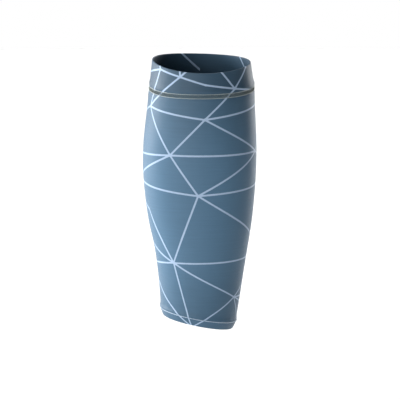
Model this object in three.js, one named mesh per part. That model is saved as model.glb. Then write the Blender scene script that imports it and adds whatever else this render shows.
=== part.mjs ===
// A calf compression sleeve in the shape it takes on a leg: a tapering tube of printed warp knit, with a deep
// turned hem at the top, a narrow turned hem at the bottom and one flat seam down the back.
// Millimetres, +Z up along the leg, the shin side towards -Y. The origin is on the leg's axis at the calf's
// fullest girth, which is where the sleeve grips.
import * as THREE from "three";

// Driving dimensions of the leg that the cloth is stretched over.
const CALF_WIDTH = 118.8; // side to side at the fullest girth
const CALF_DEPTH = 124; // shin to back at the fullest girth

// The cloth.
const CLOTH = 1.1; // one layer of the knit
const HEM_WALL = 2 * CLOTH; // two layers of it, pressed and sewn together
const PIECE_GAP = 0.3; // clearance between pieces that are sewn to each other

// The top hem. Its sewing line is level; its edge dips over the shin and leans to one side.
const TOP_SEAM_HEIGHT = 69; // middle of the sewing line above the origin
const TOP_HEM_DEPTH = 29.2; // from the sewing line to the edge, averaged round the leg
const TOP_EDGE_DIP = 3.1; // how much lower the edge is over the shin, and higher at the back
const TOP_EDGE_LEAN = 1.5; // how much lower the edge is on the +X side, and higher on the -X side
const TOP_EDGE_SADDLE = 1.8; // how much higher the edge is at both sides than at the shin and back
const TOP_HEM_SWELL = 0.35; // how far the doubled cloth stands out beside the sewing line

// The bottom hem. It is as deep all round, and hangs lower on the +X side.
const BOTTOM_EDGE_DROP = 176.7; // from the origin down to the edge, averaged round the leg
const BOTTOM_EDGE_LEAN = 7.2; // how much lower the edge is on the +X side, and higher on the -X side
const BOTTOM_HEM_DEPTH = 8;
const BOTTOM_HEM_SWELL = 0.9; // how far the sewn line stands out
const BOTTOM_EDGE_TUCK = 1.6; // how far the edge is drawn in

const SWELL_REACH = 5; // height over which the cloth eases out to a sewing line

// The stretch of leg that the section table covers, from the sleeve's lowest point to its highest.
const LEG_FOOT = -(BOTTOM_EDGE_DROP + BOTTOM_EDGE_LEAN);
const LEG_HEAD = TOP_SEAM_HEIGHT + TOP_HEM_DEPTH + TOP_EDGE_DIP;

// The flat seam down the back.
const SEAM_WIDTH = 6;
const SEAM_THICKNESS = 0.8;

// How finely the cloth is divided.
const COLUMNS = 60; // round the leg
const TUBE_ROWS = 16;
const TOP_HEM_ROWS = 6;
const BOTTOM_HEM_ROWS = 4;
const EDGE_STEPS = 4; // across a rounded edge

// The leg's outline, section by section from the ankle up. height is a share of the way from LEG_FOOT to
// LEG_HEAD. left and right are shares of CALF_WIDTH, measured from the axis towards -X and +X. front and back
// are shares of CALF_DEPTH, measured towards -Y and +Y.
const LEG_SECTIONS = [
  { height: 0.0, left: 0.334, right: 0.306, front: 0.298, back: 0.331 },
  { height: 0.1, left: 0.351, right: 0.347, front: 0.323, back: 0.355 },
  { height: 0.2, left: 0.37, right: 0.383, front: 0.347, back: 0.395 },
  { height: 0.3, left: 0.402, right: 0.421, front: 0.371, back: 0.452 },
  { height: 0.4, left: 0.453, right: 0.458, front: 0.391, back: 0.508 },
  { height: 0.5, left: 0.487, right: 0.482, front: 0.407, back: 0.552 },
  { height: 0.6, left: 0.504, right: 0.496, front: 0.419, back: 0.577 },
  { height: 0.7, left: 0.498, right: 0.498, front: 0.423, back: 0.577 },
  { height: 0.8, left: 0.472, right: 0.487, front: 0.419, back: 0.548 },
  { height: 0.9, left: 0.446, right: 0.475, front: 0.411, back: 0.5 },
  { height: 1.0, left: 0.421, right: 0.443, front: 0.399, back: 0.46 },
];

// The colours and finishes of the cloth and the sewing.
const printedKnit = new THREE.MeshStandardMaterial({ color: 0x587892, roughness: 0.7, metalness: 0 });
const hemKnit = new THREE.MeshStandardMaterial({ color: 0x4f6f88, roughness: 0.72, metalness: 0 });
const seamThread = new THREE.MeshStandardMaterial({ color: 0x8d9896, roughness: 0.8, metalness: 0 });

// One smooth curve through the rows of the section table.
const sectionCurve = new THREE.CubicInterpolant(
  LEG_SECTIONS.map((row) => row.height),
  LEG_SECTIONS.flatMap((row) => [row.left, row.right, row.front, row.back]),
  4,
);

// How far the leg's outline lies from the axis on each of its four sides at a height.
function legSection(height) {
  const share = (height - LEG_FOOT) / (LEG_HEAD - LEG_FOOT);
  const [left, right, front, back] = sectionCurve.evaluate(share);
  return {
    left: left * CALF_WIDTH,
    right: right * CALF_WIDTH,
    front: front * CALF_DEPTH,
    back: back * CALF_DEPTH,
  };
}

// A size that passes smoothly from one value to another as lean goes from -1 to 1.
const leanBetween = (minus, plus, lean) => (minus + plus) / 2 + ((plus - minus) / 2) * lean;

// The point of the leg's surface at an angle from the shin towards +X, moved in by inset.
function legPoint(angle, height, inset) {
  const side = Math.sin(angle);
  const ahead = Math.cos(angle);
  const { left, right, front, back } = legSection(height);
  const width = leanBetween(left, right, side);
  const depth = leanBetween(back, front, ahead);
  return new THREE.Vector3(side * (width - inset), -ahead * (depth - inset), height);
}

const topEdgeAt = (angle) =>
  TOP_SEAM_HEIGHT +
  TOP_HEM_DEPTH -
  TOP_EDGE_DIP * Math.cos(angle) -
  TOP_EDGE_LEAN * Math.sin(angle) -
  TOP_EDGE_SADDLE * Math.cos(2 * angle);
const bottomEdgeAt = (angle) => -BOTTOM_EDGE_DROP - BOTTOM_EDGE_LEAN * Math.sin(angle);
const bottomSeamAt = (angle) => bottomEdgeAt(angle) + BOTTOM_HEM_DEPTH;

// How far the outside of the cloth stands out from the leg's outline at a height: it eases out to each sewing
// line from both sides, and below the bottom one it is drawn in to the edge.
function standOut(angle, height) {
  const ease = (distance) => Math.exp(-((distance / SWELL_REACH) ** 2));
  const fromTop = height - TOP_SEAM_HEIGHT;
  const fromBottom = height - bottomSeamAt(angle);
  const tuck = fromBottom < 0 ? BOTTOM_EDGE_TUCK * (fromBottom / BOTTOM_HEM_DEPTH) ** 2 : 0;
  return TOP_HEM_SWELL * ease(fromTop) + BOTTOM_HEM_SWELL * ease(fromBottom) - tuck;
}

// The shares of a piece's height at which its rows lie, closer together towards both of its ends, where the
// cloth eases out to the sewing.
function rowShares(rows) {
  return Array.from({ length: rows + 1 }, (_, i) => (1 - Math.cos((Math.PI * i) / rows)) / 2);
}

// A closed profile round a wall: up its outside, over its top edge, down its inside and under its bottom edge.
// across runs from 0 outside to 1 inside and along from 0 at the bottom to 1 at the top. A round edge bulges
// half a wall past the end, in the way that its sign says.
function wallProfile(rows, roundTop, roundBottom) {
  const shares = rowShares(rows);
  const roundEdge = (end, sign, from, to) =>
    Array.from({ length: EDGE_STEPS - 1 }, (_, i) => {
      const turn = (Math.PI * (i + 1)) / EDGE_STEPS;
      const across = (from + to) / 2 + ((from - to) / 2) * Math.cos(turn);
      return { across, along: end, past: (sign * Math.sin(turn)) / 2 };
    });
  return [
    ...shares.map((along) => ({ across: 0, along, past: 0 })),
    ...(roundTop ? roundEdge(1, 1, 0, 1) : []),
    ...shares.map((along) => ({ across: 1, along, past: 0 })).reverse(),
    ...(roundBottom ? roundEdge(0, -1, 1, 0) : []),
  ];
}

// The three pieces of cloth round the leg. Each has its wall, its number of rows, which of its ends is a
// rounded fold, and the heights between which it runs at an angle.
const TUBE = {
  wall: CLOTH,
  rows: TUBE_ROWS,
  foldTop: false,
  foldBottom: false,
  lowAt: (angle) => bottomSeamAt(angle) + PIECE_GAP / 2,
  highAt: () => TOP_SEAM_HEIGHT - PIECE_GAP / 2,
};
const TOP_HEM = {
  wall: HEM_WALL,
  rows: TOP_HEM_ROWS,
  foldTop: true,
  foldBottom: false,
  lowAt: () => TOP_SEAM_HEIGHT + PIECE_GAP / 2,
  highAt: (angle) => topEdgeAt(angle) - HEM_WALL / 2,
};
const BOTTOM_HEM = {
  wall: HEM_WALL,
  rows: BOTTOM_HEM_ROWS,
  foldTop: false,
  foldBottom: true,
  lowAt: (angle) => bottomEdgeAt(angle) + HEM_WALL / 2,
  highAt: (angle) => bottomSeamAt(angle) - PIECE_GAP / 2,
};

// The heights of a piece's rows at an angle.
function rowHeights(piece, angle) {
  return rowShares(piece.rows).map((share) =>
    THREE.MathUtils.lerp(piece.lowAt(angle), piece.highAt(angle), share),
  );
}

// A ring of cloth. It is turned as a plain round ring, and each of its points is then moved to its place on
// the leg.
function clothRing(piece) {
  const profile = wallProfile(piece.rows, piece.foldTop, piece.foldBottom);
  const turned = [...profile, profile[0]].map((p, i) => new THREE.Vector2(CALF_WIDTH / 2 - p.across, i));
  const geometry = new THREE.LatheGeometry(turned, COLUMNS);
  const position = geometry.getAttribute("position");
  for (let i = 0; i < position.count; i++) {
    const column = Math.floor(i / turned.length) % COLUMNS;
    const angle = (2 * Math.PI * column) / COLUMNS;
    const p = profile[(i % turned.length) % profile.length];
    const level = THREE.MathUtils.lerp(piece.lowAt(angle), piece.highAt(angle), p.along);
    const height = level + p.past * piece.wall;
    const place = legPoint(angle, height, p.across * piece.wall - standOut(angle, height));
    position.setXYZ(i, place.x, place.y, place.z);
  }
  geometry.deleteAttribute("normal");
  geometry.deleteAttribute("uv");
  return geometry;
}

function named(name, geometry, material) {
  const mesh = new THREE.Mesh(geometry, material);
  mesh.name = name;
  return mesh;
}

// The flat seam that closes the tube, a low strip of sewing down the middle of the back from edge to edge. It
// follows every row of the cloth under it.
function backSeam() {
  const heights = [BOTTOM_HEM, TUBE, TOP_HEM].flatMap((piece) => rowHeights(piece, Math.PI));
  const section = new THREE.Shape();
  section.moveTo(-SEAM_WIDTH / 2, 0);
  section.lineTo(SEAM_WIDTH / 2, 0);
  section.lineTo(SEAM_WIDTH / 2 - SEAM_THICKNESS, SEAM_THICKNESS);
  section.lineTo(SEAM_THICKNESS - SEAM_WIDTH / 2, SEAM_THICKNESS);
  section.closePath();
  const steps = heights.length - 1;
  const geometry = new THREE.ExtrudeGeometry(section, { depth: steps, steps, bevelEnabled: false });
  const position = geometry.getAttribute("position");
  for (let i = 0; i < position.count; i++) {
    const height = heights[Math.round(position.getZ(i))];
    const { left, right } = legSection(height);
    const angle = Math.PI - Math.asin(position.getX(i) / leanBetween(left, right, 0));
    const raised = standOut(angle, height) + PIECE_GAP + position.getY(i);
    const place = legPoint(angle, height, -raised);
    position.setXYZ(i, place.x, place.y, place.z);
  }
  geometry.deleteAttribute("normal");
  geometry.deleteAttribute("uv");
  return geometry;
}

const sleeve = new THREE.Group();
sleeve.name = "calf_sleeve";
sleeve.add(
  named("calf_tube", clothRing(TUBE), printedKnit),
  named("top_hem", clothRing(TOP_HEM), hemKnit),
  named("bottom_hem", clothRing(BOTTOM_HEM), hemKnit),
  named("back_seam", backSeam(), seamThread),
);

export default sleeve;
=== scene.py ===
"""A calf compression sleeve in its worn shape: printed warp knit with a deep turned hem at the top, a narrow
one at the ankle and a flat seam down the back. Everything is in metres, with +Z up."""

import math

import bmesh
import bpy
from bpy.props import FloatProperty, FloatVectorProperty, IntProperty, PointerProperty
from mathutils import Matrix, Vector, noise


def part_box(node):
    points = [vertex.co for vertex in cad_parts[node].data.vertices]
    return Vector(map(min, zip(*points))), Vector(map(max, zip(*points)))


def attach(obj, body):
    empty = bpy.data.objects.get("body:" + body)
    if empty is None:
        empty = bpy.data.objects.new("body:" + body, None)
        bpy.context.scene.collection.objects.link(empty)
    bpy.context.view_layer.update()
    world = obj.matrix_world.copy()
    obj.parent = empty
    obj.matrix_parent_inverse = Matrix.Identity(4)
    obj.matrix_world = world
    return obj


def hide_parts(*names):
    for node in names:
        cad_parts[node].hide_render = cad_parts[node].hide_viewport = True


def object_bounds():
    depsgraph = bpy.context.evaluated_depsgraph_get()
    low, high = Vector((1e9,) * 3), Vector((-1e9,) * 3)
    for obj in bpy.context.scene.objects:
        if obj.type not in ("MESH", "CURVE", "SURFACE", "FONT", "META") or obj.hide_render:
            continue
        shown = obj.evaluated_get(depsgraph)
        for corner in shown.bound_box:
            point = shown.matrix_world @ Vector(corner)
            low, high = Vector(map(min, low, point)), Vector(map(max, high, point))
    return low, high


bl_info = {
    "name": "Calf Compression Sleeve",
    "version": (1, 0, 0),
    "blender": (4, 5, 0),
    "location": "3D View > Sidebar > Sleeve",
    "description": "Makes a printed knit calf sleeve with its hems, seam and stitching",
    "category": "Object",
}

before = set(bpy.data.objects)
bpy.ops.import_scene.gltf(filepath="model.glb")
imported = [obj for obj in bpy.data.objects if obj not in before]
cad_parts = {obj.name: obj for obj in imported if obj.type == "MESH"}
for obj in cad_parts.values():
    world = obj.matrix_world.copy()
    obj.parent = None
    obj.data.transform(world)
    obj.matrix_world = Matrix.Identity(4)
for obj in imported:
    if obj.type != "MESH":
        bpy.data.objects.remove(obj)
CAD_LOW, CAD_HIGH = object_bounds()

MM = 0.001
FRONT, BACK = 0.0, math.pi  # angles round the sleeve, growing from the front towards +X

# The shape that the cloth is stretched to, section by section from the ankle up. height is a share of the
# way from the sleeve's lowest point to its highest, left and right are shares of the calf width, measured
# from the axis towards -X and +X, and front and back are shares of the calf depth, towards -Y and +Y.
WORN_SECTIONS = (
    {"height": 0.0, "left": 0.334, "right": 0.306, "front": 0.298, "back": 0.331},
    {"height": 0.1, "left": 0.351, "right": 0.347, "front": 0.323, "back": 0.355},
    {"height": 0.2, "left": 0.37, "right": 0.383, "front": 0.347, "back": 0.395},
    {"height": 0.3, "left": 0.402, "right": 0.421, "front": 0.371, "back": 0.452},
    {"height": 0.4, "left": 0.453, "right": 0.458, "front": 0.391, "back": 0.508},
    {"height": 0.5, "left": 0.487, "right": 0.482, "front": 0.407, "back": 0.552},
    {"height": 0.6, "left": 0.504, "right": 0.496, "front": 0.419, "back": 0.577},
    {"height": 0.7, "left": 0.498, "right": 0.498, "front": 0.423, "back": 0.577},
    {"height": 0.8, "left": 0.472, "right": 0.487, "front": 0.419, "back": 0.548},
    {"height": 0.9, "left": 0.446, "right": 0.475, "front": 0.411, "back": 0.5},
    {"height": 1.0, "left": 0.421, "right": 0.443, "front": 0.399, "back": 0.46},
)
SIDES = ("left", "right", "front", "back")

# The printed web of lines, charted in millimetres of cloth: how far round from the front, and how
# high above the fullest girth. Lines run straight between these points.
WEB_POINTS = {
    "rim_left": (-47, 95),
    "rim_front": (-21, 89),
    "hem_sag": (6, 81),
    "hem_right": (38, 76),
    "upper_left": (-64, 55),
    "upper_mid": (5, 45),
    "belly_left": (-32, 7),
    "belly_right": (74, 7),
    "edge_left": (-97, -24),
    "low_mid": (-2, -35),
    "low_side": (-65, -54),
    "low_left": (-29, -108),
    "ankle_left": (-57, -134),
    "ankle_right": (41, -147),
    "ankle_mid": (-9, -177),
    "right_high": (134, 62),
    "right_belly": (150, -24),
    "right_low": (110, -106),
    "right_ankle": (98, -151),
    "left_high": (-112, 82),
    "left_upper": (-135, 30),
    "left_belly": (-150, 0),
    "left_low": (-135, -24),
    "left_lower": (-110, -72),
    "left_ankle": (-102, -116),
}
WEB_LINES = (
    ("rim_left", "left_high"),
    ("rim_left", "rim_front"),
    ("rim_left", "upper_left"),
    ("rim_left", (-64, 145)),
    ("rim_front", (-25, 145)),
    ("rim_front", (42, 145)),
    ("rim_front", "hem_sag"),
    ("hem_sag", "hem_right"),
    ("rim_front", "upper_left"),
    ("upper_left", "upper_mid"),
    ("upper_left", "belly_left"),
    ("upper_left", "left_upper"),
    ("hem_right", (-21, 145)),
    ("hem_right", (102, 145)),
    ("hem_right", "right_high"),
    ("hem_right", "upper_mid"),
    ("upper_mid", "right_high"),
    ("upper_mid", "belly_right"),
    ("upper_mid", "belly_left"),
    ("belly_left", "left_belly"),
    ("belly_left", "belly_right"),
    ("belly_left", "edge_left"),
    ("belly_left", "low_mid"),
    ("belly_right", "low_mid"),
    ("belly_right", "right_high"),
    ("belly_right", "right_belly"),
    ("low_mid", "edge_left"),
    ("low_mid", "right_belly"),
    ("low_mid", "right_low"),
    ("low_mid", "low_left"),
    ("low_side", "low_left"),
    ("low_side", "left_low"),
    ("left_lower", "low_left"),
    ("low_left", "left_ankle"),
    ("low_left", "right_low"),
    ("low_left", "ankle_right"),
    ("low_left", "ankle_mid"),
    ("left_ankle", "ankle_left"),
    ("ankle_left", "ankle_mid"),
    ("ankle_right", "ankle_mid"),
    ("ankle_right", "right_low"),
    ("ankle_right", "right_ankle"),
    ("ankle_right", (96, -171)),
    ("ankle_right", (60, -186)),
    ("ankle_mid", (-4, -190)),
    ("ankle_mid", (-40, -196)),
    ("edge_left", "left_belly"),
    ("edge_left", "left_low"),
    ("left_high", "left_upper"),
    ("left_high", (-212, 145)),
    ("left_high", (-186, 56)),
    ("left_upper", "left_belly"),
    ("left_upper", (-192, 38)),
    ("left_belly", "left_low"),
    ("left_belly", (-198, 12)),
    ("left_low", "left_lower"),
    ("left_low", (-194, -58)),
    ("left_lower", "left_ankle"),
    ("left_lower", (-185, -88)),
    ("left_ankle", (-158, -133)),
    ("left_ankle", (-118, -186)),
    ("right_high", (93, 145)),
    ("right_high", (198, 81)),
    ("right_high", "right_belly"),
    ("right_belly", (196, 14)),
    ("right_belly", (186, -56)),
    ("right_belly", "right_low"),
    ("right_low", (190, -56)),
    ("right_low", (156, -138)),
    ("right_low", "right_ankle"),
    ("right_ankle", (150, -138)),
    ("right_ankle", (112, -190)),
)

# What the sewing does to the face of the cloth, in millimetres: how far it lifts it, or pulls it in where
# that is negative, how far above the row of stitches, and over what width. The top hem has an upper row, 1,
# and a lower row, -1.
TOP_SEWN_FORMS = (
    {"row": -1, "above": -4.5, "lift": 0.2, "width": 4.5},
    {"row": 1, "above": 0.0, "lift": -0.32, "width": 0.8},
    {"row": -1, "above": 0.0, "lift": -0.42, "width": 0.9},
)
BOTTOM_SEWN_FORMS = (
    {"above": 0.8, "lift": 0.95, "width": 3.2},
    {"above": 0.0, "lift": -0.35, "width": 0.8},
)
# The doubled cloth of the top hem bulges over its upper row, more on the +X side, where it overhangs.
HEM_BULGE = {"above": 3.0, "lift": 0.45, "side_lift": 0.4, "width": 3.4}
# Puckers that the sewing gathers, strongest at the rows and gone a centimetre away, in millimetres too.
PUCKERS = {"top_lift": 0.22, "top_width": 9, "bottom_lift": 0.2, "bottom_width": 7}
PUCKERS_ROUND, PUCKERS_UP = 9, 40  # how fine they are: in the noise's own units round, and per metre up

# One needle stitch: how far along it each point lies, and how far the thread's middle stands out of the cloth
# there, in thread thicknesses. It dives into the cloth at both ends.
NEEDLE_STITCH = ((0.0, -0.7), (0.14, 0.2), (0.5, 0.35), (0.86, 0.2))
BACK_SEAM_ROWS = (-1, -1 / 3, 1 / 3, 1)  # places across the seam, as shares of half its width
ROW_LIFT, COVER_LIFT = 0.55, 0.5  # how much further they stand out there, in thread thicknesses

# The soft lights round the sleeve, in metres: turn is how many degrees round from the camera each one stands,
# and raised how high its middle is. Each one's lower edge stays clear of the floor.
SOFTBOXES = {
    "fill": {"turn": -21, "distance": 2.5, "width": 1.2, "height": 1.1, "raised": 0.28},
    "key": {"turn": -55, "distance": 1.8, "width": 0.8, "height": 1.1, "raised": 0.28},
    "side": {"turn": -110, "distance": 4.0, "width": 2.7, "height": 1.7, "raised": 0.58},
    "rim": {"turn": 144, "distance": 1.8, "width": 0.5, "height": 1.1, "raised": 0.28},
}
SOFTBOX_BEAM = 110  # degrees, narrowed by a grid
FLOOR_BEAM = 70  # degrees, narrow, so that little of it falls on the sleeve


class SleeveShape(bpy.types.PropertyGroup):
    """The sizes of the worn sleeve."""

    calf_width: FloatProperty(
        name="Calf Width",
        description="Side to side at the fullest girth",
        default=118.8 * MM,
        unit="LENGTH",
    )
    calf_depth: FloatProperty(
        name="Calf Depth",
        description="Front to back at the fullest girth",
        default=124 * MM,
        unit="LENGTH",
    )
    top_seam_height: FloatProperty(
        name="Top Seam Height",
        description="Middle of the top sewing line above the fullest girth",
        default=69 * MM,
        unit="LENGTH",
    )
    top_hem_depth: FloatProperty(
        name="Top Hem Depth",
        description="From the top sewing line to the edge, averaged all round",
        default=29.2 * MM,
        unit="LENGTH",
    )
    top_edge_dip: FloatProperty(
        name="Top Edge Dip",
        description="How much lower the top edge is in front",
        default=3.1 * MM,
        unit="LENGTH",
    )
    top_edge_lean: FloatProperty(
        name="Top Edge Lean",
        description="How much lower the top edge is on the +X side",
        default=1.5 * MM,
        unit="LENGTH",
    )
    top_edge_saddle: FloatProperty(
        name="Top Edge Saddle",
        description="How much higher the top edge is at both sides",
        default=1.8 * MM,
        unit="LENGTH",
    )
    bottom_edge_drop: FloatProperty(
        name="Bottom Edge Drop",
        description="From the fullest girth down to the bottom edge, averaged all round",
        default=176.7 * MM,
        unit="LENGTH",
    )
    bottom_edge_lean: FloatProperty(
        name="Bottom Edge Lean",
        description="How much lower the bottom edge is on the +X side",
        default=7.2 * MM,
        unit="LENGTH",
    )
    bottom_hem_depth: FloatProperty(
        name="Bottom Hem Depth",
        description="From the bottom sewing line to the edge",
        default=8 * MM,
        unit="LENGTH",
    )
    bottom_edge_tuck: FloatProperty(
        name="Bottom Edge Tuck",
        description="How far the bottom edge is drawn in",
        default=1.6 * MM,
        unit="LENGTH",
    )


class SleeveCloth(bpy.types.PropertyGroup):
    """The knit, its hems and its print."""

    thickness: FloatProperty(
        name="Knit Thickness",
        description="One layer of the warp knit",
        default=0.6 * MM,
        unit="LENGTH",
    )
    hem_thickness: FloatProperty(
        name="Hem Thickness",
        description="Both layers of a turned hem",
        default=1.6 * MM,
        unit="LENGTH",
    )
    turning_overlap: FloatProperty(
        name="Turning Overlap",
        description="How far a hem's raw edge runs past its sewing inside",
        default=3.4 * MM,
        unit="LENGTH",
    )
    columns: IntProperty(
        name="Columns", description="Divisions of the cloth round the sleeve", default=300
    )
    cut_width: FloatProperty(
        name="Cut Width",
        description="Width of the flat cut at the calf, before it is stretched",
        default=325 * MM,
        unit="LENGTH",
    )
    cut_ankle_share: FloatProperty(
        name="Cut Ankle Share",
        description="Width of the flat cut at the ankle, as a share of its width at the calf",
        default=0.66,
        subtype="FACTOR",
    )
    line_width: FloatProperty(
        name="Line Width",
        description="Width of a printed line on the calf",
        default=1.9 * MM,
        unit="LENGTH",
    )
    ankle_line_width: FloatProperty(
        name="Ankle Line Width",
        description="Width of a printed line at the ankle",
        default=1.3 * MM,
        unit="LENGTH",
    )
    ground_colour: FloatVectorProperty(
        name="Ground Colour",
        description="Printed ground of the knit, sRGB",
        default=(0x50 / 255, 0x71 / 255, 0x8B / 255),
        subtype="COLOR_GAMMA",
    )
    line_colour: FloatVectorProperty(
        name="Line Colour",
        description="Printed lines, sRGB",
        default=(0xA2 / 255, 0xB8 / 255, 0xD2 / 255),
        subtype="COLOR_GAMMA",
    )
    reverse_colour: FloatVectorProperty(
        name="Reverse Colour",
        description="Unprinted back of the knit, sRGB",
        default=(0x46 / 255, 0x52 / 255, 0x5B / 255),
        subtype="COLOR_GAMMA",
    )


class SleeveSewing(bpy.types.PropertyGroup):
    """The threads."""

    row_spacing: FloatProperty(
        name="Row Spacing",
        description="Between the two needle rows of the top hem",
        default=4.2 * MM,
        unit="LENGTH",
    )
    side_rise: FloatProperty(
        name="Side Rise",
        description="How much higher the top hem is sewn at both sides",
        default=2.4 * MM,
        unit="LENGTH",
    )
    stitch_length: FloatProperty(
        name="Stitch Length", description="One needle stitch", default=2.6 * MM, unit="LENGTH"
    )
    thread: FloatProperty(
        name="Thread", description="Thickness of the needle thread", default=0.7 * MM, unit="LENGTH"
    )
    cover_share: FloatProperty(
        name="Cover Share",
        description="Thickness of the top hem's crossing thread, as a share of the needle thread's",
        default=0.7,
        subtype="FACTOR",
    )
    seam_cover_share: FloatProperty(
        name="Seam Cover Share",
        description="Thickness of the back seam's crossing thread, as a share of the needle thread's",
        default=0.8,
        subtype="FACTOR",
    )
    ankle_share: FloatProperty(
        name="Ankle Share",
        description="Thickness of the ankle's bulky needle thread, as a share of the needle thread's",
        default=1.5,
        subtype="FACTOR",
    )
    cover_pitch: FloatProperty(
        name="Cover Pitch",
        description="From one crossing of the top hem to the next",
        default=1.3 * MM,
        unit="LENGTH",
    )
    looper_pitch: FloatProperty(
        name="Looper Pitch",
        description="From one crossing to the next inside both hems",
        default=1.7 * MM,
        unit="LENGTH",
    )
    seam_pitch: FloatProperty(
        name="Seam Pitch",
        description="From one crossing of the back seam to the next",
        default=1.4 * MM,
        unit="LENGTH",
    )
    ankle_looper_above: FloatProperty(
        name="Ankle Looper Above",
        description="How far the ankle's inner thread reaches above its needle row",
        default=0.9 * MM,
        unit="LENGTH",
    )
    ankle_looper_below: FloatProperty(
        name="Ankle Looper Below",
        description="How far the ankle's inner thread reaches below its needle row",
        default=1.5 * MM,
        unit="LENGTH",
    )
    needle_colour: FloatVectorProperty(
        name="Needle Thread Colour",
        description="Thread of the needle rows, sRGB",
        default=(0xA0 / 255, 0xAD / 255, 0xAE / 255),
        subtype="COLOR_GAMMA",
    )
    cover_colour: FloatVectorProperty(
        name="Cover Thread Colour",
        description="Thread that crosses between the rows, sRGB",
        default=(0x52 / 255, 0x5E / 255, 0x58 / 255),
        subtype="COLOR_GAMMA",
    )
    ankle_colour: FloatVectorProperty(
        name="Ankle Thread Colour",
        description="Thread of the bottom hem, sRGB",
        default=(0xA2 / 255, 0xB6 / 255, 0xCA / 255),
        subtype="COLOR_GAMMA",
    )


class SleeveStage(bpy.types.PropertyGroup):
    """The camera, the lights and the floor."""

    camera_distance: FloatProperty(
        name="Camera Distance", description="From the aim point", default=4.0, unit="LENGTH"
    )
    camera_elevation: FloatProperty(
        name="Camera Elevation",
        description="Angle above the level",
        default=math.radians(10),
        subtype="ANGLE",
    )
    view_width: FloatProperty(
        name="View Width",
        description="What the square picture is wide at the sleeve's axis",
        default=420 * MM,
        unit="LENGTH",
    )
    aim_height: FloatProperty(
        name="Aim Height",
        description="Middle of the picture, from the fullest girth",
        default=-48 * MM,
        unit="LENGTH",
    )
    floor_drop: FloatProperty(
        name="Floor Drop",
        description="How far below the sleeve the floor lies",
        default=110 * MM,
        unit="LENGTH",
    )
    fill_power: FloatProperty(
        name="Fill Power",
        description="Soft light beside the camera, in watts",
        default=10.1,
        unit="POWER",
    )
    key_power: FloatProperty(
        name="Key Power",
        description="Soft light in front on the left, in watts",
        default=4.8,
        unit="POWER",
    )
    side_power: FloatProperty(
        name="Side Power",
        description="Large soft light on the left, in watts",
        default=90,
        unit="POWER",
    )
    rim_power: FloatProperty(
        name="Rim Power",
        description="Soft light behind on the right, in watts",
        default=5.2,
        unit="POWER",
    )
    floor_power: FloatProperty(
        name="Floor Power",
        description="Wide light over the floor behind, in watts",
        default=114,
        unit="POWER",
    )
    floor_light_width: FloatProperty(
        name="Floor Light Width", description="Side to side", default=7.0, unit="LENGTH"
    )
    floor_light_length: FloatProperty(
        name="Floor Light Length", description="Front to back", default=5.0, unit="LENGTH"
    )
    floor_light_back: FloatProperty(
        name="Floor Light Back",
        description="How far behind the sleeve its middle hangs",
        default=2.5,
        unit="LENGTH",
    )
    floor_light_height: FloatProperty(
        name="Floor Light Height",
        description="Above the fullest girth",
        default=2.6,
        unit="LENGTH",
    )
    surround: FloatProperty(
        name="Surround",
        description="Brightness that the dim room lights the sleeve with",
        default=0.04,
        subtype="FACTOR",
    )
    backdrop: FloatProperty(
        name="Backdrop",
        description="Brightness that the room shows past the floor's edge",
        default=1.0,
        subtype="FACTOR",
    )
    floor_radius: FloatProperty(
        name="Floor Radius",
        description="How far the round floor reaches",
        default=3.0,
        unit="LENGTH",
    )


def settings(name):
    """The PropertyGroup that the scene holds under a name."""
    return getattr(bpy.context.scene, name)


def linear(colour):
    """An sRGB colour as the linear one that shaders take."""
    return tuple(
        c / 12.92 if c <= 0.04045 else ((c + 0.055) / 1.055) ** 2.4 for c in colour[:3]
    ) + (1.0,)


def lean_between(minus, plus, lean):
    """A size that passes smoothly from one value to another as lean goes from -1 to 1."""
    return (minus + plus) / 2 + (plus - minus) / 2 * lean


def lowest():
    """The height of the sleeve's lowest point."""
    s = settings("sleeve_shape")
    return -(s.bottom_edge_drop + s.bottom_edge_lean)


def highest():
    """The height of the sleeve's highest point."""
    s = settings("sleeve_shape")
    return s.top_seam_height + s.top_hem_depth + s.top_edge_dip


def worn_section(height):
    """How far the sleeve's outline lies from the axis on each of its four sides, as one smooth curve through
    the section table."""
    s = settings("sleeve_shape")
    last = len(WORN_SECTIONS) - 1
    share = min(max((height - lowest()) / (highest() - lowest()), 0), 1) * last
    below = min(int(share), last - 1)
    t = share - below
    sizes = []
    for side in SIDES:
        size = s.calf_width if side in ("left", "right") else s.calf_depth
        start, end = WORN_SECTIONS[below][side], WORN_SECTIONS[below + 1][side]
        before = WORN_SECTIONS[below - 1][side] if below else 2 * start - end
        after = WORN_SECTIONS[below + 2][side] if below + 2 <= last else 2 * end - start
        curve = start + t * (end - before) / 2
        curve += t * t * (before - 2.5 * start + 2 * end - after / 2)
        curve += t**3 * (1.5 * (start - end) + (after - before) / 2)
        sizes.append(curve * size)
    return sizes


def cloth_point(angle, height, out=0.0):
    """A point of the sleeve's outline at an angle and a height, moved out from it."""
    left, right, front, back = worn_section(height)
    side, ahead = math.sin(angle), math.cos(angle)
    width = lean_between(left, right, side)
    depth = lean_between(back, front, ahead)
    return Vector((side * (width + out), -ahead * (depth + out), height))


def top_edge(angle):
    """The height of the top edge at an angle."""
    s = settings("sleeve_shape")
    return (
        s.top_seam_height
        + s.top_hem_depth
        - s.top_edge_dip * math.cos(angle)
        - s.top_edge_lean * math.sin(angle)
        - s.top_edge_saddle * math.cos(2 * angle)
    )


def top_seam(angle):
    """The height of the middle of the top sewing line at an angle."""
    s = settings("sleeve_shape")
    return s.top_seam_height + settings("sleeve_sewing").side_rise * math.sin(angle) ** 4


def bottom_edge(angle):
    """The height of the bottom edge at an angle."""
    s = settings("sleeve_shape")
    return -s.bottom_edge_drop - s.bottom_edge_lean * math.sin(angle)


def bottom_seam(angle):
    """The height of the bottom sewing line at an angle."""
    return bottom_edge(angle) + settings("sleeve_shape").bottom_hem_depth


def bump_at(distance, width):
    """A smooth bump of height 1 and of about that width."""
    return math.exp(-((distance / width) ** 2))


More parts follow.
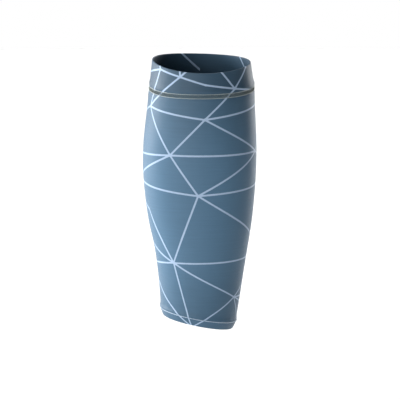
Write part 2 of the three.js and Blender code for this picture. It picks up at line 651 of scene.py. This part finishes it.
def stand_out(angle, height):
    """How far the cloth's outer face stands out from the sleeve's outline: it swells beside each sewing line,
    is pulled in along the stitches, and is drawn in to the bottom edge."""
    s = settings("sleeve_shape")
    half = settings("sleeve_sewing").row_spacing / MM / 2
    from_top = (height - top_seam(angle)) / MM
    from_bottom = (height - bottom_seam(angle)) / MM
    lift = HEM_BULGE["lift"] + HEM_BULGE["side_lift"] * max(math.sin(angle), 0)
    out = lift * bump_at(from_top - half - HEM_BULGE["above"], HEM_BULGE["width"])
    for form in TOP_SEWN_FORMS:
        place = form["row"] * half + form["above"]
        out += form["lift"] * bump_at(from_top - place, form["width"])
    for form in BOTTOM_SEWN_FORMS:
        out += form["lift"] * bump_at(from_bottom - form["above"], form["width"])
    across, along = math.cos(angle) * PUCKERS_ROUND, math.sin(angle) * PUCKERS_ROUND
    gathers = noise.noise(Vector((across, along, height * PUCKERS_UP)))
    out += PUCKERS["top_lift"] * gathers * bump_at(from_top, PUCKERS["top_width"])
    out += PUCKERS["bottom_lift"] * gathers * bump_at(from_bottom, PUCKERS["bottom_width"])
    if from_bottom < 0:
        share = from_bottom * MM / s.bottom_hem_depth
        out -= s.bottom_edge_tuck / MM * share**2
    return out * MM


def cloth_rows():
    """Every row of the cloth from the ankle's raw edge, round both folds, to the top's raw edge, as pairs of
    the stretch it lies in and how far along that stretch, with rows closer together where the cloth bends."""
    stretches = (
        ("ankle_turning", 8),
        ("ankle_fold", 8),
        ("ankle_hem", 8),
        ("ankle_seam", 12),
        ("tube", 54),
        ("top_seam", 26),
        ("top_hem", 12),
        ("top_fold", 8),
        ("top_turning", 14),
    )
    rows = [(name, i / count) for name, count in stretches for i in range(count)]
    return rows + [(stretches[-1][0], 1.0)]


def cloth_row_place(stretch, share, angle):
    """The height of a row at an angle, how far its face stands out, and how high it lies on the flat
    cloth."""
    s = settings("sleeve_shape")
    cloth = settings("sleeve_cloth")
    sewing = settings("sleeve_sewing")
    fold = cloth.hem_thickness / 2
    low, high = bottom_edge(angle) + fold, top_edge(angle) - fold
    ankle_sewn, top_sewn = bottom_seam(angle), top_seam(angle)
    ankle_raw = ankle_sewn + cloth.turning_overlap
    top_raw = top_sewn - sewing.row_spacing / 2 - cloth.turning_overlap
    # How far below and above each sewing line the rows lie closer together, because the cloth swells there
    ankle_below, ankle_above, top_zone = 1.5 * MM, 7 * MM, 11 * MM
    levels = {
        "ankle_hem": (low, ankle_sewn - ankle_below),
        "ankle_seam": (ankle_sewn - ankle_below, ankle_sewn + ankle_above),
        "tube": (ankle_sewn + ankle_above, top_sewn - top_zone),
        "top_seam": (top_sewn - top_zone, top_sewn + top_zone),
        "top_hem": (top_sewn + top_zone, high),
    }
    if stretch in levels:
        start, end = levels[stretch]
        height = start + (end - start) * share
        return height, stand_out(angle, height), height
    if stretch in ("ankle_fold", "top_fold"):
        turn = math.pi * share
        top = stretch == "top_fold"
        level = high if top else low
        up = fold * math.sin(turn) * (1 if top else -1)
        across = fold * (1 - math.cos(turn)) if top else fold * (1 + math.cos(turn))
        run = fold * turn if top else -fold * (math.pi - turn)
        return level + up, stand_out(angle, level) - across, level + run
    folded = math.pi * fold
    if stretch == "top_turning":
        height = high + (top_raw - high) * share
        return height, stand_out(angle, height) - cloth.hem_thickness, high + folded + high - height
    height = ankle_raw + (low - ankle_raw) * share
    return height, stand_out(angle, height) - cloth.hem_thickness, low - folded - (height - low)


def round_from_middle(angles, height):
    """How far round the sleeve each of a list of angles lies from the middle one, measured over the cloth."""
    distances = [0.0]
    for before, after in zip(angles, angles[1:]):
        step = cloth_point(after, height) - cloth_point(before, height)
        distances.append(distances[-1] + step.length)
    middle = distances[len(angles) // 2]
    return [d - middle for d in distances]


def girth_at(height):
    """The length all round, as four times the quarter from one side to the back."""
    steps = 90
    angles = [math.pi * i / steps for i in range(steps + 1)]
    return 4 * round_from_middle(angles, height)[-1]


def shown(name, mesh, materials):
    """Puts a mesh in the scene as a smooth piece with its materials."""
    mesh.materials.clear()
    for material in materials:
        mesh.materials.append(material)
    mesh.polygons.foreach_set("use_smooth", [True] * len(mesh.polygons))
    piece = bpy.data.objects.new(name, mesh)
    bpy.context.scene.collection.objects.link(piece)
    return piece


def new_piece(name, made, materials):
    """Turns a bmesh into a shown piece."""
    mesh = bpy.data.meshes.new(name)
    made.to_mesh(mesh)
    made.free()
    return shown(name, mesh, materials)


def node(tree, kind, inputs=None, **options):
    """Adds a node with its settings, and sets or links its inputs, named by their names or numbers."""
    made = tree.nodes.new(kind)
    for name, value in options.items():
        setattr(made, name, value)
    for name, value in (inputs or {}).items():
        if isinstance(value, bpy.types.NodeSocket):
            tree.links.new(value, made.inputs[name])
        else:
            made.inputs[name].default_value = value
    return made


def new_material(name):
    """A material with an empty node tree."""
    material = bpy.data.materials.new(name)
    material.use_nodes = True
    material.node_tree.nodes.clear()
    return material, material.node_tree


def web_stroke_group():
    """A node group that gives the distance to one straight line of the print, or to the nearest line so far
    if that is nearer. Where lines meet, the distance is smoothed, as the ink fills the corners a little."""
    corner_fill = 1.1  # mm
    group = bpy.data.node_groups.new("WebStroke", "ShaderNodeTree")
    for name, kind in (
        ("Cloth", "NodeSocketVector"),
        ("From", "NodeSocketVector"),
        ("Along", "NodeSocketVector"),
        ("Along over Length Squared", "NodeSocketVector"),
        ("Nearest", "NodeSocketFloat"),
    ):
        group.interface.new_socket(name=name, in_out="INPUT", socket_type=kind)
    group.interface.new_socket(name="Nearest", in_out="OUTPUT", socket_type="NodeSocketFloat")
    given = node(group, "NodeGroupInput").outputs
    away = node(
        group, "ShaderNodeVectorMath", {0: given["Cloth"], 1: given["From"]}, operation="SUBTRACT"
    )
    reach = node(
        group,
        "ShaderNodeVectorMath",
        {0: away.outputs[0], 1: given["Along over Length Squared"]},
        operation="DOT_PRODUCT",
    )
    share = node(
        group, "ShaderNodeClamp", {"Value": reach.outputs["Value"], "Min": 0.0, "Max": 1.0}
    )
    nearest_point = node(
        group,
        "ShaderNodeVectorMath",
        {0: given["Along"], "Scale": share.outputs[0]},
        operation="SCALE",
    )
    distance = node(
        group,
        "ShaderNodeVectorMath",
        {0: away.outputs[0], 1: nearest_point.outputs[0]},
        operation="DISTANCE",
    )
    nearer = node(
        group,
        "ShaderNodeMath",
        {0: given["Nearest"], 1: distance.outputs["Value"], 2: corner_fill},
        operation="SMOOTH_MIN",
    )
    node(group, "NodeGroupOutput", {"Nearest": nearer.outputs[0]})
    return group


def knit_height(tree, cloth_mm, wale=0.9, course=0.8):
    """The relief of a warp knit, from about -0.4 to 1.3: upright wales, each crossed by slanting loops. The
    real wales lie about 0.5 mm apart, so these are drawn coarser, to show in a close view."""
    across = node(tree, "ShaderNodeSeparateXYZ", {0: cloth_mm})
    column = node(
        tree, "ShaderNodeMath", {0: across.outputs["X"], 1: 1 / wale}, operation="MULTIPLY"
    )
    slope = node(tree, "ShaderNodeMath", {0: column.outputs[0], 1: 0.5}, operation="PINGPONG")
    wave = node(
        tree,
        "ShaderNodeMath",
        {0: across.outputs["Y"], 1: 1 / course, 2: slope.outputs[0]},
        operation="MULTIPLY_ADD",
    )
    turn = node(
        tree, "ShaderNodeMath", {0: wave.outputs[0], 1: 2 * math.pi}, operation="MULTIPLY"
    )
    loops = node(tree, "ShaderNodeMath", {0: turn.outputs[0]}, operation="SINE")
    ridge = node(
        tree, "ShaderNodeMath", {0: slope.outputs[0], 1: 2 * math.pi}, operation="MULTIPLY"
    )
    rounded = node(tree, "ShaderNodeMath", {0: ridge.outputs[0]}, operation="SINE")
    return node(
        tree,
        "ShaderNodeMath",
        {0: loops.outputs[0], 1: 0.35, 2: rounded.outputs[0]},
        operation="MULTIPLY_ADD",
    ).outputs[0]


def printed_knit_material():
    """Polyamide and elastane warp knit, sublimation printed on its face: a smooth, slightly silky cloth with
    a soft sheen towards its edges, and pale lines with crisp but faintly bleeding edges."""
    cloth = settings("sleeve_cloth")
    material, tree = new_material("PrintedWarpKnit")
    cloth_mm = node(tree, "ShaderNodeUVMap", uv_map="ClothMM").outputs[0]
    # The ink bleeds along the yarns, so the lines' edges waver by a fraction of a millimetre.
    bleed = node(
        tree, "ShaderNodeTexNoise", {"Vector": cloth_mm, "Scale": 0.9, "Detail": 1.0}
    )
    waver = node(
        tree,
        "ShaderNodeVectorMath",
        {0: bleed.outputs["Color"], 1: (0.5, 0.5, 0.0)},
        operation="SUBTRACT",
    )
    wavering = node(
        tree,
        "ShaderNodeVectorMath",
        {0: waver.outputs[0], 1: (0.35, 0.35, 0.0), 2: cloth_mm},
        operation="MULTIPLY_ADD",
    ).outputs[0]
    flat = node(
        tree, "ShaderNodeVectorMath", {0: wavering, 1: (1.0, 1.0, 0.0)}, operation="MULTIPLY"
    ).outputs[0]
    stroke = web_stroke_group()
    nearest = 1000.0  # mm, further than any line
    for line in WEB_LINES:
        start, end = (Vector((*WEB_POINTS.get(p, p), 0.0)) for p in line)
        along = end - start
        nearest = node(
            tree,
            "ShaderNodeGroup",
            {
                "Cloth": flat,
                "From": start,
                "Along": along,
                "Along over Length Squared": along / along.length_squared,
                "Nearest": nearest,
            },
            node_tree=stroke,
        ).outputs[0]
    # The ankle is stretched less than the calf, so its lines are narrower.
    up = node(tree, "ShaderNodeSeparateXYZ", {0: cloth_mm}).outputs["Y"]
    narrow, wide = (width / MM / 2 for width in (cloth.ankle_line_width, cloth.line_width))
    half_line = node(
        tree,
        "ShaderNodeMapRange",
        {"Value": up, "From Min": -170.0, "From Max": -80.0, "To Min": narrow, "To Max": wide},
    ).outputs[0]
    beyond = node(tree, "ShaderNodeMath", {0: nearest, 1: half_line}, operation="SUBTRACT")
    bleeding = 0.2  # mm that the ink fades over, each way from a line's edge
    ink = node(
        tree,
        "ShaderNodeMapRange",
        {
            "Value": beyond.outputs[0],
            "From Min": -bleeding,
            "From Max": bleeding,
            "To Min": 1.0,
            "To Max": 0.0,
        },
        interpolation_type="SMOOTHSTEP",
    ).outputs[0]
    # Uneven tension shows as faint level bars in the ground.
    streak_place = node(
        tree, "ShaderNodeVectorMath", {0: cloth_mm, 1: (0.025, 0.55, 0.0)}, operation="MULTIPLY"
    )
    streaks = node(
        tree, "ShaderNodeTexNoise", {"Vector": streak_place.outputs[0], "Scale": 1.0, "Detail": 3.0}
    )
    lightness = node(
        tree,
        "ShaderNodeMapRange",
        {"Value": streaks.outputs["Fac"], "To Min": 0.92, "To Max": 1.08},
    ).outputs[0]
    # The ground is darker towards both ends, and on the doubled hem.
    for darkest_at, plain_at, depth in ((-190.0, -90.0, 0.74), (84.0, -10.0, 0.72), (74.0, 66.0, 0.74)):
        stretch = node(
            tree,
            "ShaderNodeMapRange",
            {"Value": up, "From Min": darkest_at, "From Max": plain_at, "To Min": depth},
            interpolation_type="SMOOTHSTEP",
        )
        lightness = node(
            tree, "ShaderNodeMath", {0: lightness, 1: stretch.outputs[0]}, operation="MULTIPLY"
        ).outputs[0]
    ground = node(
        tree,
        "ShaderNodeVectorMath",
        {0: linear(cloth.ground_colour)[:3], "Scale": lightness},
        operation="SCALE",
    )
    colour = node(
        tree,
        "ShaderNodeMix",
        {0: ink, 6: ground.outputs[0], 7: linear(cloth.line_colour)},
        data_type="RGBA",
    ).outputs[2]
    relief = knit_height(tree, cloth_mm)
    # Painted shade: the colour is made darker in the knit's hollows, and a little lighter on its raised loops
    # as a painted highlight.
    painted_relief_shade = node(
        tree,
        "ShaderNodeMapRange",
        {"Value": relief, "From Min": -0.4, "From Max": 1.3, "To Min": 0.9, "To Max": 1.05},
    )
    colour_with_painted_relief_shade = node(
        tree,
        "ShaderNodeVectorMath",
        {0: colour, "Scale": painted_relief_shade.outputs[0]},
        operation="SCALE",
    ).outputs[0]
    bump = node(
        tree,
        "ShaderNodeBump",
        {"Strength": 0.35, "Distance": 0.08 * MM, "Height": relief},
    )
    rough = node(
        tree,
        "ShaderNodeMapRange",
        {"Value": relief, "From Min": -0.4, "From Max": 1.3, "To Min": 0.56, "To Max": 0.46},
    )
    shader = node(
        tree,
        "ShaderNodeBsdfPrincipled",
        {
            "Base Color": colour_with_painted_relief_shade,
            "Roughness": rough.outputs[0],
            "Normal": bump.outputs[0],
            "IOR": 1.5,
            "Specular IOR Level": 0.25,
            "Sheen Weight": 0.15,
            "Sheen Roughness": 0.35,
        },
    )
    node(tree, "ShaderNodeOutputMaterial", {"Surface": shader.outputs[0]})
    return material


def knit_reverse_material():
    """The unprinted back of the same knit: matt, brushed by its loops and darker than the face."""
    cloth = settings("sleeve_cloth")
    material, tree = new_material("KnitReverse")
    cloth_mm = node(tree, "ShaderNodeUVMap", uv_map="ClothMM").outputs[0]
    relief = knit_height(tree, cloth_mm, wale=0.9, course=0.5)
    fuzz = node(tree, "ShaderNodeTexNoise", {"Vector": cloth_mm, "Scale": 1.6, "Detail": 4.0})
    shade = node(
        tree,
        "ShaderNodeMapRange",
        {"Value": fuzz.outputs["Fac"], "To Min": 0.85, "To Max": 1.15},
    )
    colour = node(
        tree,
        "ShaderNodeVectorMath",
        {0: linear(cloth.reverse_colour)[:3], "Scale": shade.outputs[0]},
        operation="SCALE",
    )
    bump = node(
        tree, "ShaderNodeBump", {"Strength": 0.5, "Distance": 0.1 * MM, "Height": relief}
    )
    shader = node(
        tree,
        "ShaderNodeBsdfPrincipled",
        {
            "Base Color": colour.outputs[0],
            "Roughness": 0.9,
            "Normal": bump.outputs[0],
            "Specular IOR Level": 0.25,
            "Sheen Weight": 0.3,
            "Sheen Roughness": 0.6,
        },
    )
    node(tree, "ShaderNodeOutputMaterial", {"Surface": shader.outputs[0]})
    return material


def thread_material(name, colour):
    """Textured polyester sewing thread: soft and slightly uneven, with plies that catch the light. It is made
    once, and found by its name after that."""
    if name in bpy.data.materials:
        return bpy.data.materials[name]
    material, tree = new_material(name)
    place = node(tree, "ShaderNodeTexCoord").outputs["Object"]
    fibres = node(tree, "ShaderNodeTexNoise", {"Vector": place, "Scale": 3500.0, "Detail": 2.0})
    shade = node(
        tree,
        "ShaderNodeMapRange",
        {"Value": fibres.outputs["Fac"], "To Min": 0.75, "To Max": 1.25},
    )
    tone = node(
        tree,
        "ShaderNodeVectorMath",
        {0: linear(colour)[:3], "Scale": shade.outputs[0]},
        operation="SCALE",
    )
    bump = node(
        tree,
        "ShaderNodeBump",
        {"Strength": 0.5, "Distance": 0.05 * MM, "Height": fibres.outputs["Fac"]},
    )
    shader = node(
        tree,
        "ShaderNodeBsdfPrincipled",
        {
            "Base Color": tone.outputs[0],
            "Roughness": 0.5,
            "Normal": bump.outputs[0],
            "Sheen Weight": 1.0,
            "Sheen Roughness": 0.35,
        },
    )
    node(tree, "ShaderNodeOutputMaterial", {"Surface": shader.outputs[0]})
    return material


def floor_material():
    """White painted studio floor: matt and even."""
    material, tree = new_material("WhiteStudioFloor")
    place = node(tree, "ShaderNodeTexCoord").outputs["Object"]
    cloud = node(tree, "ShaderNodeTexNoise", {"Vector": place, "Scale": 0.6, "Detail": 1.0})
    tone = node(
        tree,
        "ShaderNodeMapRange",
        {"Value": cloud.outputs["Fac"], "To Min": 0.9, "To Max": 0.93},
    )
    shader = node(
        tree,
        "ShaderNodeBsdfPrincipled",
        {"Base Color": tone.outputs[0], "Roughness": 0.9, "Specular IOR Level": 0.1},
    )
    node(tree, "ShaderNodeOutputMaterial", {"Surface": shader.outputs[0]})
    return material


def add_softbox(name, place, target, size, beam, power):
    """Adds a rectangular soft light of a width and a height, whose beam spreads by some degrees."""
    data = bpy.data.lights.new(name, "AREA")
    data.shape = "RECTANGLE"
    data.size, data.size_y = size
    data.spread = math.radians(beam)
    data.energy = power
    light = bpy.data.objects.new(name, data)
    light.location = place
    light.rotation_euler = (target - place).to_track_quat("-Z", "Y").to_euler()
    light.visible_camera = False
    bpy.context.scene.collection.objects.link(light)


class SLEEVE_OT_stage(bpy.types.Operator):
    """Make the camera, the lights and the floor"""

    bl_idname = "sleeve.stage"
    bl_label = "Stage"

    def execute(self, context):
        stage = settings("sleeve_stage")
        aim = Vector((0, 0, stage.aim_height))
        tilt = stage.camera_elevation
        back = Vector((0, -math.cos(tilt), math.sin(tilt)))
        lens = bpy.data.cameras.new("camera")
        lens.sensor_width = 36.0
        lens.lens = lens.sensor_width * stage.camera_distance / stage.view_width
        lens.clip_end = 100
        camera = bpy.data.objects.new("camera", lens)
        camera.location = aim + back * stage.camera_distance
        camera.rotation_euler = (-back).to_track_quat("-Z", "Y").to_euler()
        context.scene.collection.objects.link(camera)
        context.scene.camera = camera
        for name, box in SOFTBOXES.items():
            turn = math.radians(box["turn"])
            place = Vector((math.sin(turn), -math.cos(turn), 0)) * box["distance"]
            place.z = box["raised"]
            power = getattr(stage, name + "_power")
            size = (box["width"], box["height"])
            add_softbox(name + "_softbox", place, aim, size, SOFTBOX_BEAM, power)
        over_floor = Vector((0, stage.floor_light_back, stage.floor_light_height))
        below = Vector((0, stage.floor_light_back, 0))
        size = (stage.floor_light_width, stage.floor_light_length)
        add_softbox("floor_softbox", over_floor, below, size, FLOOR_BEAM, stage.floor_power)
        world = bpy.data.worlds.new("dim_studio")
        world.use_nodes = True
        room = world.node_tree
        # The room gives little light, and is seen as a pale backdrop beyond the floor's edge.
        seen = node(room, "ShaderNodeLightPath").outputs["Is Camera Ray"]
        strength = node(
            room,
            "ShaderNodeMapRange",
            {"Value": seen, "To Min": stage.surround, "To Max": stage.backdrop},
        )
        background = room.nodes["Background"]
        background.inputs["Color"].default_value = (1, 1, 1, 1)
        room.links.new(strength.outputs[0], background.inputs["Strength"])
        context.scene.world = world
        context.scene.view_settings.view_transform = "Standard"
        made = bmesh.new()
        bmesh.ops.create_circle(made, cap_ends=True, radius=stage.floor_radius, segments=96)
        floor_height = CAD_LOW.z - stage.floor_drop
        bmesh.ops.translate(made, verts=made.verts, vec=(0, 0, floor_height))
        new_piece("studio_floor", made, [floor_material()])
        return {"FINISHED"}


class SLEEVE_OT_cloth(bpy.types.Operator):
    """Close the flat cut of printed knit to a tube in its worn shape, and turn both hems"""

    bl_idname = "sleeve.cloth"
    bl_label = "Printed Cloth"

    def execute(self, context):
        cloth = settings("sleeve_cloth")
        rows = cloth_rows()
        last_row, columns = len(rows) - 1, cloth.columns
        made = bmesh.new()
        uv = made.loops.layers.uv.new("ClothMM")
        bmesh.ops.create_grid(
            made, x_segments=columns, y_segments=last_row, size=0.5, calc_uvs=False
        )
        angles = [-math.pi + 2 * math.pi * i / columns for i in range(columns + 1)]
        flat_places = {}
        rounds = {}
        for vertex in made.verts:
            column = round((vertex.co.x + 0.5) * columns)
            row = round((vertex.co.y + 0.5) * last_row)
            angle = angles[column]
            height, out, along = cloth_row_place(*rows[row], angle)
            level = round(height / MM)
            if level not in rounds:
                rounds[level] = round_from_middle(angles, level * MM)
            flat_places[vertex] = (rounds[level][column] / MM, along / MM)
            vertex.co = cloth_point(angle, height, out)
        for face in made.faces:
            for loop in face.loops:
                loop[uv].uv = flat_places[loop.vert]
        bmesh.ops.remove_doubles(made, verts=made.verts, dist=0.01 * MM)
        piece = new_piece(
            "printed_cloth", made, [printed_knit_material(), knit_reverse_material()]
        )
        wall = piece.modifiers.new("Knit Thickness", "SOLIDIFY")
        wall.thickness = cloth.thickness
        wall.offset = -1
        wall.material_offset = 1
        wall.material_offset_rim = 1
        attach(piece, "root")
        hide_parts("calf_tube", "top_hem", "bottom_hem")
        shape = settings("sleeve_shape")
        return {"FINISHED"}


def thread_piece(name, runs, thickness, material):
    """A piece made of runs of thread, each a list of points that it passes through."""
    data = bpy.data.curves.new(name, "CURVE")
    data.dimensions = "3D"
    data.bevel_depth = thickness / 2
    data.bevel_resolution = 1
    for points in runs:
        spline = data.splines.new("POLY")
        spline.points.add(len(points) - 1)
        for point, place in zip(spline.points, points):
            point.co = (*place, 1)
    curve = bpy.data.objects.new(name, data)
    bpy.context.scene.collection.objects.link(curve)
    solid = bpy.data.meshes.new_from_object(curve)
    bpy.data.objects.remove(curve)
    solid.name = name
    piece = shown(name, solid, [material])
    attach(piece, "root")
    return piece


def thread_point(angle, height, rise, inside=False):
    """A point of a thread that stands out of the cloth's outer face, or of a hem's inner face."""
    face = stand_out(angle, height)
    if inside:
        return cloth_point(angle, height, face - settings("sleeve_cloth").hem_thickness - rise)
    return cloth_point(angle, height, face + rise)


def needle_row(height_at):
    """A run of needle stitches all round, at the height that height_at gives for an angle."""
    sewing = settings("sleeve_sewing")
    stitches = round(girth_at(height_at(FRONT)) / sewing.stitch_length)
    points = []
    for i in range(stitches):
        for along, out in NEEDLE_STITCH:
            angle = -math.pi + 2 * math.pi * (i + along) / stitches
            points.append(thread_point(angle, height_at(angle), out * sewing.thread))
    points.append(points[0].copy())
    return points


def cover_run(low_at, high_at, pitch, inside=False):
    """A thread that crosses to and fro between two rows all round. It dips at each row."""
    sewing = settings("sleeve_sewing")
    crossings = round(girth_at(low_at(FRONT)) / pitch) // 2 * 2
    points = []
    for i in range(crossings):
        for share in (0.0, 0.25, 0.75):
            angle = -math.pi + 2 * math.pi * (i + share) / crossings
            across = share if i % 2 == 0 else 1 - share
            height = low_at(angle) + (high_at(angle) - low_at(angle)) * across
            rise = sewing.thread * (0.05 if share == 0 else 0.3)
            points.append(thread_point(angle, height, rise, inside))
    points.append(points[0].copy())
    return points


class SLEEVE_OT_hem_stitching(bpy.types.Operator):
    """Sew both hems: needle rows outside, crossing threads between them, and loopers inside"""

    bl_idname = "sleeve.hem_stitching"
    bl_label = "Hem Stitching"

    def execute(self, context):
        sewing = settings("sleeve_sewing")
        needle = thread_material("NeedleThread", sewing.needle_colour)
        cover = thread_material("CoverThread", sewing.cover_colour)
        ankle = thread_material("AnkleThread", sewing.ankle_colour)
        half = sewing.row_spacing / 2

        def upper(angle):
            return top_seam(angle) + half

        def lower(angle):
            return top_seam(angle) - half

        def ankle_upper(angle):
            return bottom_seam(angle) + sewing.ankle_looper_above

        def ankle_lower(angle):
            return bottom_seam(angle) - sewing.ankle_looper_below

        thread_piece(
            "top_needle_rows", [needle_row(upper), needle_row(lower)], sewing.thread, needle
        )
        thread_piece(
            "top_cover_thread",
            [cover_run(lower, upper, sewing.cover_pitch)],
            sewing.cover_share * sewing.thread,
            cover,
        )
        thread_piece(
            "top_looper_thread",
            [cover_run(lower, upper, sewing.looper_pitch, inside=True)],
            sewing.thread,
            needle,
        )
        thread_piece(
            "ankle_needle_row",
            [needle_row(bottom_seam)],
            sewing.ankle_share * sewing.thread,
            ankle,
        )
        thread_piece(
            "ankle_looper_thread",
            [cover_run(ankle_lower, ankle_upper, sewing.looper_pitch, inside=True)],
            sewing.thread,
            ankle,
        )
        return {"FINISHED"}


class SLEEVE_OT_back_seam(bpy.types.Operator):
    """Sew the flat seam down the back"""

    bl_idname = "sleeve.back_seam"
    bl_label = "Back Seam"

    def execute(self, context):
        sewing = settings("sleeve_sewing")
        low, high = bottom_edge(BACK), top_edge(BACK)
        seam_low, seam_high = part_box("back_seam")
        half = (seam_high.x - seam_low.x) / 2 - sewing.thread / 2
        length = high - low - sewing.stitch_length

        def place(across, height, rise):
            left, right = worn_section(height)[:2]
            angle = BACK - math.asin(across / lean_between(left, right, 0))
            return thread_point(angle, height, rise * sewing.thread)

        start = low + sewing.stitch_length / 2
        stitches = round(length / sewing.stitch_length)
        rows = []
        for offset in BACK_SEAM_ROWS:
            points = []
            for i in range(stitches):
                for along, out in NEEDLE_STITCH:
                    height = start + length * (i + along) / stitches
                    points.append(place(offset * half, height, out + ROW_LIFT))
            rows.append(points)
        crossings = round(length / sewing.seam_pitch)
        cover = []
        for i in range(crossings):
            for share in (0.0, 0.25, 0.5, 0.75):
                across = (2 * share - 1) * (1 if i % 2 == 0 else -1)
                height = start + length * (i + share) / crossings
                cover.append(place(across * half, height, COVER_LIFT))
        needle = thread_material("NeedleThread", sewing.needle_colour)
        seam = thread_piece("back_seam_rows", rows, sewing.thread, needle)
        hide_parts("back_seam")
        thread_piece(
            "back_seam_cover",
            [cover],
            sewing.seam_cover_share * sewing.thread,
            thread_material("CoverThread", sewing.cover_colour),
        )
        return {"FINISHED"}


class SLEEVE_PT_panel(bpy.types.Panel):
    """The pieces to make, and their sizes and colours"""

    bl_label = "Calf Sleeve"
    bl_idname = "SLEEVE_PT_panel"
    bl_space_type = "VIEW_3D"
    bl_region_type = "UI"
    bl_category = "Sleeve"

    def draw(self, context):
        for kind in OPERATORS:
            self.layout.operator(kind.bl_idname)
        for name, group in GROUPS.items():
            box = self.layout.box()
            box.label(text=group.__name__)
            for prop in group.__annotations__:
                box.prop(getattr(context.scene, name), prop)


GROUPS = {
    "sleeve_shape": SleeveShape,
    "sleeve_cloth": SleeveCloth,
    "sleeve_sewing": SleeveSewing,
    "sleeve_stage": SleeveStage,
}
OPERATORS = (
    SLEEVE_OT_stage,
    SLEEVE_OT_cloth,
    SLEEVE_OT_hem_stitching,
    SLEEVE_OT_back_seam,
)


def register():
    for kind in (*GROUPS.values(), *OPERATORS, SLEEVE_PT_panel):
        bpy.utils.register_class(kind)
    for name, group in GROUPS.items():
        setattr(bpy.types.Scene, name, PointerProperty(type=group))


def unregister():
    for name in GROUPS:
        delattr(bpy.types.Scene, name)
    for kind in reversed((*GROUPS.values(), *OPERATORS, SLEEVE_PT_panel)):
        bpy.utils.unregister_class(kind)


def main():
    register()
    bpy.ops.sleeve.stage()
    bpy.ops.sleeve.cloth()
    bpy.ops.sleeve.hem_stitching()
    bpy.ops.sleeve.back_seam()


if __name__ == "__main__":
    main()
